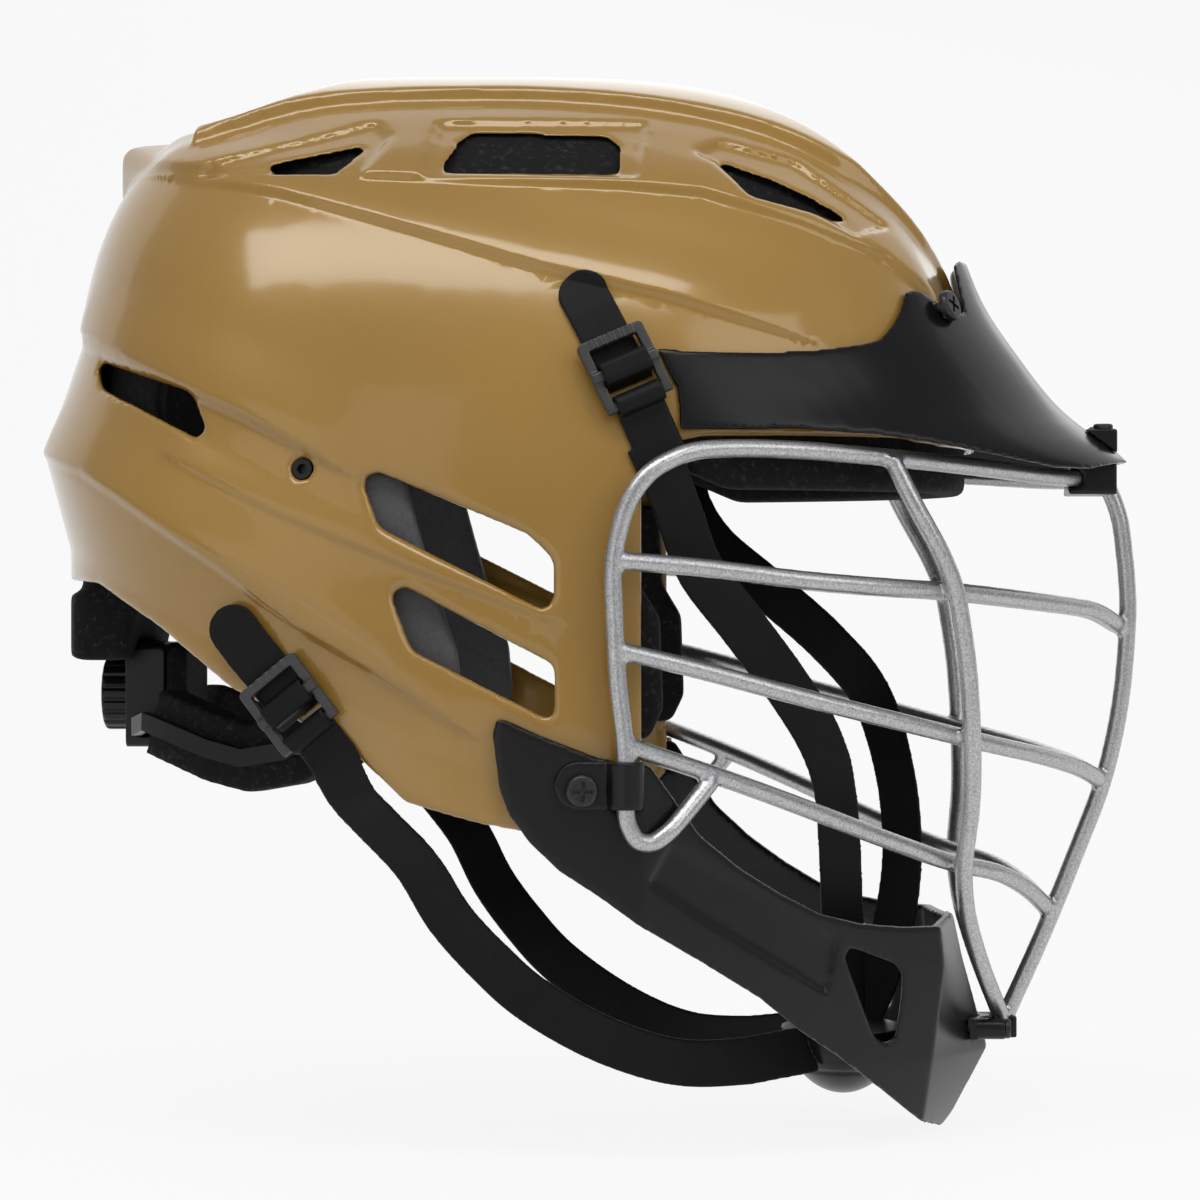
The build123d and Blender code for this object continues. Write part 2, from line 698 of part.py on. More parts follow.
def visor_saddle():
    """A block under the peak that grips the mask's rim and centre upright."""
    back, front = [side_at(share, 0)[0] for share in visor_clip_shares]
    top = mask_at(*rim_shares[0])
    half = visor_clip_width + small_head_radius + seat_gap
    block = box_between((back, -half, top.Z - wire_radius - visor_clip_wall), (top.X + wire_radius, half, top.Z + crown_height / 4))
    block &= visor_body(visor_wall + seat_gap)
    block -= dome(spine_rise)
    block -= wire(both_sides(rim_shares), wire_radius + seat_gap)
    block -= wire([mask_at(*share) for share in centre_bar_shares], wire_radius + seat_gap)
    for side in (-1, 1):
        block -= visor_clip_screw_plane(side) * Cylinder(small_screw_radius + seat_gap / 3, 4 * crown_height)
    return block.solids().sort_by(SortBy.VOLUME)[-1]


def visor_clip_screws():
    """Two small screws through the plate and the peak into the saddle."""
    grip = 4 * (visor_clip_wall + visor_wall)
    return Part() + [screw(visor_clip_screw_plane(side), grip, small_head_radius, small_screw_radius) for side in (-1, 1)]


def chin_clip_screw_plane(side):
    """Plane of a small screw into the guard's nose."""
    x, z = guard_at(1.035, 0.76)
    return Plane(origin=(x, side * 0.75 * chin_clip_half_width, z), z_dir=(1, 0, 0))


def mask_chin_clip():
    """A saddle on the guard's nose that grips the bottom of the mask's uprights."""
    x, z = guard_at(0, 0.76)
    half_height = small_head_radius + seat_gap
    skin = guard_flanks(-seat_gap - chin_clip_plate) - guard_flanks(-seat_gap)
    region = box_between((x, -chin_clip_half_width, z - half_height), (2 * shell_length, chin_clip_half_width, z + half_height))
    body = skin & region
    foot = mask_at(*centre_bar_shares[-1])
    grip = wire_radius + clip_wall
    body += box_between((x, -grip, z - half_height), (foot.X + grip, grip, z + half_height)) - guard_flanks(-seat_gap)
    for side in (-1, 1):
        seat = chin_clip_screw_plane(side)
        post = seat * Cylinder(small_head_radius + seat_gap, guard_length / 4, align=(Align.CENTER, Align.CENTER, Align.MAX))
        body += post - guard_flanks(-seat_gap)
        body -= seat * Cylinder(small_head_radius + seat_gap, guard_length / 4, align=(Align.CENTER, Align.CENTER, Align.MIN))
        body -= seat * Cylinder(small_screw_radius + seat_gap, guard_length / 2)
    body -= wire([mask_at(*share) for share in centre_bar_shares], wire_radius + seat_gap)
    bar = wire([mask_at(*share) for share in side_bar_shares], wire_radius + seat_gap)
    body = body - bar - mirrored(bar)
    return body.solids().sort_by(SortBy.VOLUME)[-1]


def mask_chin_clip_screws():
    """Two small screws that hold the saddle to the guard's nose."""
    grip = 4 * guard_wall
    return Part() + [screw(chin_clip_screw_plane(side), grip, small_head_radius, small_screw_radius) for side in (-1, 1)]


def side_plugs():
    """A plug in the round hole above the side vents, with its flange inside and a socket outside."""
    plane = skin_plane(pivot_share, 0)
    depth = shell_wall + 4 * seat_gap
    lift = Pos(0, 0, -screw_head_height / 2)
    body = lift * Cylinder(pivot_radius - seat_gap, depth, align=(Align.CENTER, Align.CENTER, Align.MAX))
    body += Pos(0, 0, -depth) * Cylinder(plug_flange_radius, screw_head_height, align=(Align.CENTER, Align.CENTER, Align.MAX))
    body -= lift * extrude(RegularPolygon(pivot_radius / 2, 6), amount=screw_head_height, both=True)
    one = plane * body
    return one + mirrored(one)


# Foam pads, which follow the shell's inner face

crown_pad_share = 0.66
brow_pad_shares = [(0.6, 0.2), (0.64, 0.42), (1.2, 0.44), (1.2, 0.135), (0.73, 0.135), (0.67, 0.185)]
side_pad_shares = [
    (0.15, 0.38), (0.17, 0.6), (0.62, 0.6), (0.62, 0.43), (0.585, 0.21), (0.36, 0.21), (0.33, 0.23), (0.28, 0.25), (0.22, 0.315),
]
jaw_pad_shares = [
    (0.2, 0.06), (0.24, 0.12), (0.322, 0.125), (0.335, 0.19), (0.4, 0.16), (0.415, 0.05), (0.43, -0.05), (0.455, -0.19),
    (0.46, -0.3), (0.44, -0.37), (0.36, -0.33), (0.24, -0.24),
]
cheek_pad_shares = [
    (0.575, 0.13), (0.635, 0.13), (0.64, -0.05), (0.662, -0.12), (0.665, -0.3), (0.65, -0.36), (0.585, -0.36), (0.572, -0.28),
]
rear_pad_shares = [(-0.1, 0.03), (-0.1, 0.56), (0.145, 0.58), (0.13, 0.3), (0.16, 0.12), (0.12, 0.03)]
nape_pad_shares = [(-0.1, 0.0), (-0.1, -0.21), (0.075, -0.21), (0.085, -0.12), (0.12, 0.0)]
nape_lip_shares = [(-0.1, -0.062), (-0.1, -0.19), (0.03, -0.21), (0.075, -0.21), (0.085, -0.1), (0.06, -0.072)]


@lru_cache
def pad_layer(clear, thickness):
    """Foam between two offsets of the skin, clear of the shell's inner face."""
    outer = -shell_wall - clear
    return dome(outer) - dome(outer - thickness)


def crown_liner():
    """A cap of foam over the head, scored into blocks on its inner side."""
    floor = Pos(0, 0, side_at(0, crown_pad_share)[1])
    keep = floor * Box(4 * shell_length, 4 * shell_half_width, 2 * crown_height, align=(Align.CENTER, Align.CENTER, Align.MIN))
    body = pad_layer(pad_gap, pad_thickness) & keep
    body &= under_crown(1.3 * shell_wall + 1.5 * pad_gap)
    inner = dome(-shell_wall - pad_gap - pad_thickness / 2)
    width = pad_thickness / 3
    scores = Part()
    for share in (0.28, 0.5, 0.72):
        scores += Pos(side_at(share, 0)[0], 0, 0) * Box(width, 2 * shell_half_width, 4 * crown_height)
    for side in (-1, 1):
        scores += Pos(0, side * tail_half_width, 0) * Box(4 * shell_length, width, 4 * crown_height)
    body -= inner & scores
    return body.solids().sort_by(SortBy.VOLUME)[-1]


def brow_pad():
    """A band of foam inside the brow, which shows under the shell's front edge."""
    body = pad_layer(pad_gap, pad_thickness) & side_cut(brow_pad_shares)
    return body.solids().sort_by(SortBy.VOLUME)[-1]


def wall_pad(shares, clear, thickness):
    """A pad on the right wall with a rounded rim, from its side-view outline."""
    outline = make_face(Polyline(*[side_at(*share) for share in shares], close=True))
    outline = fillet(outline.vertices(), pad_thickness / 4)
    prism = extrude(Plane.XZ * outline, amount=2 * shell_half_width)
    body = pad_layer(clear, thickness) & prism
    return body.solids().sort_by(SortBy.VOLUME)[-1]


def side_liner():
    return wall_pad(side_pad_shares, 2 * pad_gap, pad_thickness)


def jaw_pad():
    return wall_pad(jaw_pad_shares, 2 * pad_gap, jaw_pad_thickness)


def cheek_pad():
    return wall_pad(cheek_pad_shares, pad_gap, jaw_pad_thickness)


def rear_liner():
    """Foam inside the back of the shell, behind the slots."""
    body = pad_layer(step_height + 2 * pad_gap, pad_thickness) & side_cut(rear_pad_shares)
    return body.solids().sort_by(SortBy.VOLUME)[-1]


def nape_pad():
    """The block at the nape, partly inside the shell and partly below its edge."""
    body = pad_layer(pad_gap, 2 * pad_thickness) & side_cut(nape_pad_shares)
    body += (dome(0) - dome(-shell_wall - pad_gap - 2 * pad_thickness)) & side_cut(nape_lip_shares)
    body &= Box(4 * shell_length, 3.6 * housing_half_width, 4 * crown_height)
    body = body - housing_block(seat_gap) - dial_room()
    return body.solids().sort_by(SortBy.VOLUME)[-1]


# Ladder buckles and webbing

temple_tail_shares = [(0.606, 0.432, 0.0), (0.59, 0.489, 0.0), (0.57, 0.558, 0.0)]
temple_buckle_shares = [(0.624, 0.364), (0.643, 0.289)]
temple_run_shares = [(0.6455, 0.255), (0.652, 0.225), (0.659, 0.195), (0.666, 0.167)]
rear_tail_shares = [(0.263, -0.238, 0.045), (0.237, -0.195, 0.23), (0.196, -0.14, 0.38)]
rear_buckle_shares = [(0.287, -0.289), (0.311, -0.349)]
rear_run_shares = [(0.321, -0.37), (0.3265, -0.387), (0.333, -0.405)]
upper_right_stations = [
    (0.675, 0.905, 0.125, 0.25, -0.93, 0.25), (0.684, 0.866, 0.074, 0.25, -0.93, 0.15), (0.703, 0.807, -0.025, 0.25, -0.93, 0.0), (0.748, 0.702, -0.141, 0.3, -0.9, 0.0), (0.795, 0.596, -0.266, 0.35, -0.9, 0.0),
    (0.829, 0.509, -0.379, 0.4, -0.9, 0.0), (0.844, 0.421, -0.494, 0.5, -0.85, 0.0), (0.85, 0.351, -0.703, 0.5, -0.85, 0.0),
    (0.851, 0.289, -0.884, 0.4, -0.9, 0.0), (0.851, 0.246, -1.013, 0.2, -0.95, 0.0),
]
upper_left_stations = [
    (0.675, 0.905, 0.125, 0.25, -0.93, 0.25), (0.69, 0.866, 0.074, 0.25, -0.93, 0.15), (0.714, 0.82, 0.02, 0.25, -0.93, 0.0), (0.768, 0.737, -0.065, 0.3, -0.9, 0.0), (0.833, 0.649, -0.174, 0.35, -0.9, 0.0),
    (0.885, 0.579, -0.295, 0.4, -0.9, 0.0), (0.912, 0.46, -0.46, 0.5, -0.85, 0.0), (0.92, 0.365, -0.633, 0.5, -0.85, 0.0),
    (0.91, 0.32, -0.787, 0.45, -0.88, 0.0), (0.889, 0.28, -0.916, 0.4, -0.9, 0.0), (0.862, 0.246, -1.013, 0.2, -0.95, 0.0),
]
lower_stations = [
    (0.335, 1.0, -0.424, -0.05, -1.0, -0.3), (0.349, 0.968, -0.476, -0.15, -0.9, -0.4), (0.37, 0.912, -0.525, -0.2, -0.9, -0.3),
    (0.409, 0.833, -0.613, -0.2, -0.9, -0.2), (0.441, 0.763, -0.721, -0.1, -0.95, -0.2), (0.48, 0.684, -0.813, 0.0, -0.95, -0.2),
    (0.521, 0.614, -0.89, 0.1, -0.95, -0.2), (0.58, 0.526, -0.965, 0.15, -0.95, -0.2), (0.638, 0.439, -1.016, 0.2, -0.95, -0.2),
    (0.687, 0.377, -1.039, 0.25, -0.93, -0.1), (0.74, 0.316, -1.04, 0.25, -0.93, 0.0), (0.781, 0.262, -1.03, 0.2, -0.95, 0.0),
    (0.822, 0.2, -1.02, 0.2, -0.95, 0.0),
]
strap_lift = strap_thickness / 2 + seat_gap + seat_gap / 6
frame_half_width = strap_width / 2 + buckle_margin
bar_radius = buckle_thickness / 2
mid_bar_half = 0.56 * buckle_bar


def strip_face(points, thickness):
    """Side view of a band of even thickness along a bent line."""
    left = []
    right = []
    for index, point in enumerate(points):
        before = Vector(*points[max(index - 1, 0)])
        after = Vector(*points[min(index + 1, len(points) - 1)])
        here = Vector(*point)
        into = (here - before).normalized() if index else (after - here).normalized()
        out = (after - here).normalized() if index < len(points) - 1 else into
        middle = (into + out).normalized()
        square = Vector(-middle.Y, middle.X)
        half = thickness / 2 / max(middle.dot(into), 0.5)
        left.append(here + square * half)
        right.append(here - square * half)
    return make_face(Polyline(*left, *reversed(right), close=True))


def local_height(plane, shares, lift):
    """Places on the skin along the strap, as distance along and height above the plane."""
    spots = []
    for forward, up, *rise in shares:
        raised = lift + sum(rise) * strap_width
        spots.append(plane.to_local_coords(skin_spot((forward, up), raised)[0]))
    return [(spot.X, spot.Z) for spot in spots]


def buckle_plane(shares):
    """Underside of the buckle's frame, its first axis down the strap."""
    return skin_plane(shares[0], buckle_lift, shares[1])


def across_strap(face, width):
    """A side view in the buckle's plane, made as wide as a strap."""
    return extrude(Plane.XZ * face, amount=width / 2, both=True)


def hinge_x():
    return buckle_length / 2 - bar_radius


def buckle(shares):
    """A moulded frame with a raised middle bar, grip ridges and a round end bar."""
    length = hinge_x() + buckle_length / 2
    low = (Align.MIN, Align.CENTER, Align.MIN)
    frame = Pos(-buckle_length / 2, 0, 0) * Box(length, 2 * frame_half_width, buckle_thickness, align=low)
    frame = fillet(frame.edges().filter_by(Axis.Z).group_by(Axis.X)[0], buckle_margin / 2)
    slot_width = strap_width + 2 * seat_gap
    slot = Box(hinge_x() - mid_bar_half, slot_width, 4 * buckle_thickness, align=(Align.MIN, Align.CENTER, Align.CENTER))
    frame -= Pos(mid_bar_half, 0, 0) * slot
    upper = buckle_length / 2 - buckle_bar - mid_bar_half
    frame -= Pos(-mid_bar_half, 0, 0) * Box(upper, slot_width, 4 * buckle_thickness, align=(Align.MAX, Align.CENTER, Align.CENTER))
    frame += Pos(hinge_x(), 0, bar_radius) * Rot(90, 0, 0) * Cylinder(bar_radius, 2 * frame_half_width)
    rise = Pos(0, 0, buckle_thickness) * Rot(90, 0, 0) * Cylinder(mid_bar_half, 2 * frame_half_width)
    frame += rise & Box(buckle_length, 2 * frame_half_width, 2 * (buckle_thickness + bar_rise()))
    for index in range(5):
        y = (index - 2) * strap_width / 5
        ridge = Pos(-buckle_length / 2 + buckle_bar / 2, y, buckle_thickness) * Box(buckle_bar, strap_width / 12, buckle_bar / 3)
        frame += ridge
    return buckle_plane(shares) * frame


def bar_rise():
    return mid_bar_half * 0.7


def buckle_tail(shares, tail_shares):
    """The strap's free end, threaded over the middle bar and out along the shell."""
    plane = buckle_plane(shares)
    under = strap_lift - buckle_lift
    leg = mid_bar_half + strap_lift
    top = buckle_thickness + bar_rise() + strap_lift
    tail = local_height(plane, tail_shares, strap_lift)
    line = [(leg + strap_thickness, under), (leg, -under), (leg, top - strap_thickness / 2), (leg - strap_thickness / 2, top)]
    line += [(-x, z) for x, z in reversed(line[1:])]
    line += [(-leg - strap_thickness / 2, under / 2), (-leg - 1.6 * strap_thickness, under)]
    line += tail
    band = across_strap(strip_face(line, strap_thickness), strap_width)
    end = tail[-1][0] + strap_width / 2
    keep = Pos(end, 0, 0) * Box(4 * buckle_length, strap_width, 8 * buckle_length, align=(Align.MIN, Align.CENTER, Align.CENTER))
    keep += Pos(end, 0, 0) * Cylinder(strap_width / 2, 8 * buckle_length)
    return plane * (band & keep)


def strap_loop(shares, run_shares):
    """The loop round the buckle's end bar and the run that leaves it down the skin."""
    plane = buckle_plane(shares)
    run = local_height(plane, run_shares, strap_lift)
    ring = Circle(bar_radius + seat_gap + strap_thickness) - Circle(bar_radius + seat_gap)
    centre = (hinge_x(), bar_radius)
    low = bar_radius - strap_lift - bar_radius - seat_gap / 6
    line = [(hinge_x(), low + seat_gap / 6), (hinge_x() + strap_thickness, low), *run]
    body = across_strap(Pos(*centre) * ring, strap_width) + across_strap(strip_face(line, strap_thickness), strap_width)
    bar = Pos(hinge_x(), 0, bar_radius) * Rot(90, 0, 0) * Cylinder(bar_radius + seat_gap, 2 * frame_half_width)
    return plane * (body - bar)


def helmet_at(forward, out, up):
    """A place on the wearer's right, in shares of the shell's length, half width and height."""
    x, z = side_at(forward, up)
    return Vector(x, -out * shell_half_width, z)


def webbing(stations, first_shares):
    """A strap that starts flat on the skin and then runs free through its stations."""
    spots = []
    normals = []
    for share in first_shares:
        spot, normal = skin_spot(share, strap_lift)
        spots.append(spot)
        normals.append(normal)
    for forward, out, up, *facing in stations:
        spots.append(helmet_at(forward, out, up))
        normals.append(Vector(*facing).normalized())
    return ribbon(spots, normals, strap_width, strap_thickness)


def chin_strap(buckle_shares, run_shares, stations):
    body = strap_loop(buckle_shares, run_shares) + webbing(stations, run_shares[1:])
    body -= cup_body(seat_gap)
    return body.solids().sort_by(SortBy.VOLUME)[-1]


# Chin cup

cup_centre_shares = (0.852, 0.0, -0.948)


def cup_body(grow):
    """The rounded body of the chin cup, cut off level at its rim, moved outwards by grow."""
    centre = helmet_at(*cup_centre_shares)
    sizes = [size / 2 + grow for size in (cup_length, cup_width, 2 * cup_depth)]
    body = scale(Sphere(cup_depth), by=tuple(size / cup_depth for size in sizes))
    low = Pos(0, 0, -cup_rim_drop + grow) * Box(2 * cup_width, 2 * cup_width, 4 * cup_depth, align=(Align.CENTER, Align.CENTER, Align.MAX))
    return Pos(*centre) * (body & low)


def chin_cup():
    """A thin moulded cup with ribs round its underside."""
    body = cup_body(0) - cup_body(-cup_wall)
    for index in range(3):
        centre = helmet_at(*cup_centre_shares)
        groove = (cup_body(seat_gap) - cup_body(-cup_wall / 3)) & (
            Pos(0, 0, centre.Z - cup_rim_drop - (index + 1) * 2 * cup_wall) * Box(4 * shell_length, 4 * cup_width, cup_wall / 2))
        body -= groove
    return body.solids().sort_by(SortBy.VOLUME)[-1]


def chin_cup_pad():
    """The soft lining of the cup."""
    body = cup_body(-cup_wall - seat_gap) - cup_body(-3 * cup_wall)
    return body.solids().sort_by(SortBy.VOLUME)[-1]


# Fit system at the nape

pitch_radius = tooth_module * pinion_teeth / 2
tooth_pitch = math.pi * tooth_module
tooth_reach = 0.75 * tooth_module
tooth_half = 0.19 * tooth_pitch
wing_shares = [
    (0.101, 0.439, -0.335), (0.131, 0.509, -0.355), (0.175, 0.57, -0.387), (0.215, 0.614, -0.406),
    (0.263, 0.667, -0.39), (0.31, 0.702, -0.335),
]


def housing_middle_x():
    return housing_front_x - housing_wall - cavity_depth / 2


def housing_block(grow):
    """The outer block of the housing, moved outwards by grow."""
    depth = cavity_depth + 2 * housing_wall
    block = Box(depth + 2 * grow, 2 * (housing_half_width + grow), housing_height + 2 * grow)
    return Pos(housing_middle_x(), 0, dial_centre_z) * block


def dial_room():
    """The space that the dial turns in."""
    return Pos(dial_front_x, 0, dial_centre_z) * Rot(0, 90, 0) * Cylinder(
        dial_radius + 2 * seat_gap, 4 * dial_depth, align=(Align.CENTER, Align.CENTER, Align.MAX))


def rack_height(side):
    """Height of the middle of a band's bar: the left band above the pinion, the right one below."""
    return dial_centre_z + side * (pitch_radius + tooth_reach + band_height / 2)


def fit_housing():
    """A box with an open slot at each end for a band, and a bore for the dial's axle."""
    body = housing_block(0)
    body = fillet(body.edges().filter_by(Axis.X), housing_wall)
    room = Box(cavity_depth, 2 * (housing_half_width - housing_wall), housing_height - 2 * housing_wall)
    body -= Pos(housing_middle_x(), 0, dial_centre_z) * room
    for side in (-1, 1):
        slot = Box(band_thickness + 4 * seat_gap, housing_half_width, band_height + 4 * seat_gap)
        body -= Pos(housing_middle_x(), side * housing_half_width, rack_height(side)) * slot
    body -= Pos(housing_front_x, 0, dial_centre_z) * Rot(0, 90, 0) * Cylinder(axle_radius + seat_gap, 4 * dial_depth)
    window = Pos(housing_front_x, 0, dial_centre_z) * Rot(0, 90, 0) * Cylinder(2 * axle_radius, 4 * housing_wall)
    return body - window


def fit_dial():
    """The ribbed knob with its axle."""
    turn = Rot(0, 90, 0)
    knob = Cylinder(dial_radius, dial_depth, align=(Align.CENTER, Align.CENTER, Align.MAX))
    knob = fillet(knob.edges().sort_by(Axis.Z)[0], dial_depth / 6)
    for index in range(dial_ribs):
        angle = math.radians(360 * index / dial_ribs)
        spot = Pos(dial_radius * math.cos(angle), dial_radius * math.sin(angle), 0)
        knob -= spot * Cylinder(dial_radius / 14, 4 * dial_depth)
    knob -= Pos(0, 0, -dial_depth) * (Cylinder(0.62 * dial_radius, dial_depth / 3) - Box(dial_radius / 3, 2 * dial_radius, dial_depth))
    axle = Cylinder(axle_radius, axle_length(), align=(Align.CENTER, Align.CENTER, Align.MIN))
    bore = Pos(0, 0, axle_length()) * Cylinder(axle_radius / 2, pinion_width, align=(Align.CENTER, Align.CENTER, Align.MAX))
    return Pos(dial_front_x, 0, dial_centre_z) * turn * (knob + axle - bore)


def axle_length():
    return housing_middle_x() + pinion_width / 2 - dial_front_x


def fit_pinion():
    """The small gear on the axle; it shows a gap straight up and straight down."""
    body = Cylinder(pitch_radius - 1.25 * tooth_reach, pinion_width)
    for index in range(pinion_teeth):
        tip = pitch_radius + tooth_reach
        root = pitch_radius - 1.5 * tooth_reach
        tooth = Polygon((root, -1.3 * tooth_half), (root, 1.3 * tooth_half), (tip, 0.7 * tooth_half), (tip, -0.7 * tooth_half), align=None)
        body += Rot(0, 0, 360 * index / pinion_teeth) * extrude(tooth, amount=pinion_width / 2, both=True)
    body -= Cylinder(axle_radius + seat_gap / 3, 2 * pinion_width)
    body = Rot(0, 90, 0) * Rot(0, 0, 180 / pinion_teeth) * body
    return Pos(housing_middle_x(), 0, dial_centre_z) * body


def dial_screw():
    """The screw that keeps the pinion on the axle."""
    seat = Plane(origin=(housing_middle_x() + pinion_width / 2 + seat_gap / 3, 0, dial_centre_z), z_dir=(1, 0, 0))
    return screw(seat, pinion_width / 2, 1.6 * axle_radius, axle_radius / 2 - seat_gap / 3)


def fit_band(side):
    """A toothed band from the pinion out of the housing, then a curved arm along the wing."""
    middle = rack_height(side)
    base = middle - side * band_height / 2
    tip = base - side * 2 * tooth_reach
    ends = sorted((-side * 1.2 * pitch_radius, side * wing_start))
    back = housing_middle_x() - band_thickness / 2
    body = box_between((back, ends[0], middle - band_height / 2), (back + band_thickness, ends[1], middle + band_height / 2))
    for index in range(-1, 6):
        y = side * index * tooth_pitch
        foot = base + side * seat_gap
        outline = [(y - 1.3 * tooth_half, foot), (y + 1.3 * tooth_half, foot), (y + 0.7 * tooth_half, tip), (y - 0.7 * tooth_half, tip)]
        tooth = extrude(Plane.YZ * make_face(Polyline(*outline, close=True)), amount=band_thickness / 2, both=True)
        body += Pos(housing_middle_x(), 0, 0) * tooth
    spots = [Vector(housing_middle_x(), -wing_start + wing_thickness / 2, middle), Vector(housing_middle_x(), -wing_start, middle)]
    spots += [helmet_at(*share) for share in wing_shares]
    arm = ribbon(spots, wing_normals(spots), 0.95 * band_height, 0.9 * band_thickness)
    return body + (mirrored(arm) if side > 0 else arm)


def wing_normals(spots):
    """Directions square to the wing's line, level and away from the head."""
    normals = []
    for index, spot in enumerate(spots):
        along = spots[min(index + 1, len(spots) - 1)] - spots[max(index - 1, 0)]
        normals.append(along.cross(Vector(0, 0, 1)).normalized())
    return normals


def fit_wing(side):
    """The padded wing on the head side of the band's arm."""
    spots = [helmet_at(*share) for share in wing_shares]
    normals = wing_normals(spots)
    inset = band_thickness / 2 + seat_gap + wing_thickness / 2
    places = [spot - normal * inset for spot, normal in zip(spots, normals)]
    body = ribbon(places, normals, wing_height, wing_thickness)
    return mirrored(body) if side > 0 else body


def fit_pad():
    """Soft pad on the head side of the housing."""
    block = box_between(
        (housing_front_x + seat_gap, -housing_half_width, dial_centre_z - housing_height / 2),
        (housing_front_x + seat_gap + housing_wall * 3, housing_half_width, dial_centre_z + housing_height / 2))
    return fillet(block.edges().filter_by(Axis.X), 2 * housing_wall)


def sided(name, solid):
    """A piece on the wearer's right and its mirror image on the left."""
    return {f"{name}_right": solid, f"{name}_left": mirrored(solid)}


def pieces():
    """Every piece by name, in place on the helmet."""
    made = {
        "shell": shell(), "visor": visor(), "visor_screws": visor_screws(), "visor_clip": visor_clip(),
        "visor_saddle": visor_saddle(), "visor_clip_screws": visor_clip_screws(), "side_plugs": side_plugs(),
        "mask_rim": mask_rim(), "mask_centre_bar": mask_centre_bar(), "chin_guard": chin_guard(),
        "side_clip_screws": side_clip_screws(), "side_clip_nuts": side_clip_nuts(),
        "mask_chin_clip": mask_chin_clip(), "mask_chin_clip_screws": mask_chin_clip_screws(),
        "crown_liner": crown_liner(), "brow_pad": brow_pad(), "rear_liner": rear_liner(), "nape_pad": nape_pad(),
        "chin_cup": chin_cup(), "chin_cup_pad": chin_cup_pad(), "fit_housing": fit_housing(), "fit_dial": fit_dial(),
        "fit_pinion": fit_pinion(), "dial_screw": dial_screw(), "fit_pad": fit_pad(),
        "fit_band_right": fit_band(-1), "fit_band_left": fit_band(1),
        "fit_wing_right": fit_wing(-1), "fit_wing_left": fit_wing(1),
    }
    for level in row_shares:
        made[f"mask_row_{level}"] = mask_row(level)
    upper = [chin_strap(temple_buckle_shares, temple_run_shares, way) for way in (upper_right_stations, upper_left_stations)]
    made |= {"upper_chin_strap_right": upper[0], "upper_chin_strap_left": mirrored(upper[1])}
    made |= sided("lower_chin_strap", chin_strap(rear_buckle_shares, rear_run_shares, lower_stations))
    made |= sided("temple_buckle", buckle(temple_buckle_shares))
    made |= sided("temple_tail", buckle_tail(temple_buckle_shares, temple_tail_shares))
    made |= sided("rear_buckle", buckle(rear_buckle_shares))
    made |= sided("rear_tail", buckle_tail(rear_buckle_shares, rear_tail_shares))
    for name, make in {
        "mask_side_bar": mask_side_bar, "side_clip": side_clip, "side_liner": side_liner,
        "jaw_pad": jaw_pad, "cheek_pad": cheek_pad,
    }.items():
        made |= sided(name, make())
    return made


if __name__ == "__main__":
    os.makedirs("parts", exist_ok=True)
    for name, solid in pieces().items():
        solid.label = name
        export_step(solid, f"parts/{name}.step")
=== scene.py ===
import bpy
import bmesh
import numpy as np
import math
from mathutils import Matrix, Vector


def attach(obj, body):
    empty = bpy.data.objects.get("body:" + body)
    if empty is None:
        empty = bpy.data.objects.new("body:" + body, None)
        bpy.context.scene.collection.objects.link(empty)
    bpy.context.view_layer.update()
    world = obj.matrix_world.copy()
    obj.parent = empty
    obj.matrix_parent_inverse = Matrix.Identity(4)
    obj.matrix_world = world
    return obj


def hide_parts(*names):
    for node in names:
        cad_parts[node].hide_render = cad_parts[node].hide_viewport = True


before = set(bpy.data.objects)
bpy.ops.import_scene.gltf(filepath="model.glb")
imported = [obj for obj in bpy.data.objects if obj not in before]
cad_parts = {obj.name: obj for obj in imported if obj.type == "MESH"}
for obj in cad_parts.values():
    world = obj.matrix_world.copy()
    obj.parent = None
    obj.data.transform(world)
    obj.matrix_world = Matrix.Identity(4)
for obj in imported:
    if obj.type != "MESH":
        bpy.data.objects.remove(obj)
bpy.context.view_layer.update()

# Studio: a pale paper sweep under and behind the helmet, soft lamps above and in front of it,
# and a long lens level with its middle, on the wearer's right.

camera_place = (0.1063, -1.3981, -0.0561)
camera_pitch = 90
camera_turn = 3
lens_length = 127.3
film_width = 36.0
view_end = 20.0

floor_height = -0.2295
floor_start = -3.0
bend_start = 0.9
bend_radius = 0.9
bend_steps = 12
wall_top = 4.0
paper_half_width = 5.0

paper_dark = (0.80, 0.80, 0.80, 1)
paper_pale = (0.83, 0.83, 0.83, 1)
paper_shown = 0.88
air_colour = (0.9, 0.92, 0.95, 1)
air_strength = 0.4

for thing in list(bpy.context.selected_objects):
    thing.select_set(False)
scene = bpy.context.scene
scene.view_settings.view_transform = "Standard"

lens = bpy.data.cameras.new("studio_camera")
lens.lens = lens_length
lens.sensor_width = film_width
lens.clip_end = view_end
camera = bpy.data.objects.new("studio_camera", lens)
camera.location = camera_place
camera.rotation_euler = (math.radians(camera_pitch), 0, math.radians(camera_turn))
scene.collection.objects.link(camera)
scene.camera = camera

sweep_mesh = bpy.data.meshes.new("studio_sweep")
sweep = bpy.data.objects.new("studio_sweep", sweep_mesh)
scene.collection.objects.link(sweep)
profile = [(floor_start, floor_height), (bend_start, floor_height)]
for step in range(1, bend_steps + 1):
    turn = math.radians(90 / bend_steps * step)
    profile.append((bend_start + bend_radius * math.sin(turn), floor_height + bend_radius * (1 - math.cos(turn))))
profile.append((bend_start + bend_radius, wall_top))
sweep_mesh.from_pydata(
    [(x, y, z) for y, z in profile for x in (-paper_half_width, paper_half_width)], [],
    [(2 * i, 2 * i + 1, 2 * i + 3, 2 * i + 2) for i in range(len(profile) - 1)])
for face in sweep_mesh.polygons:
    face.use_smooth = True


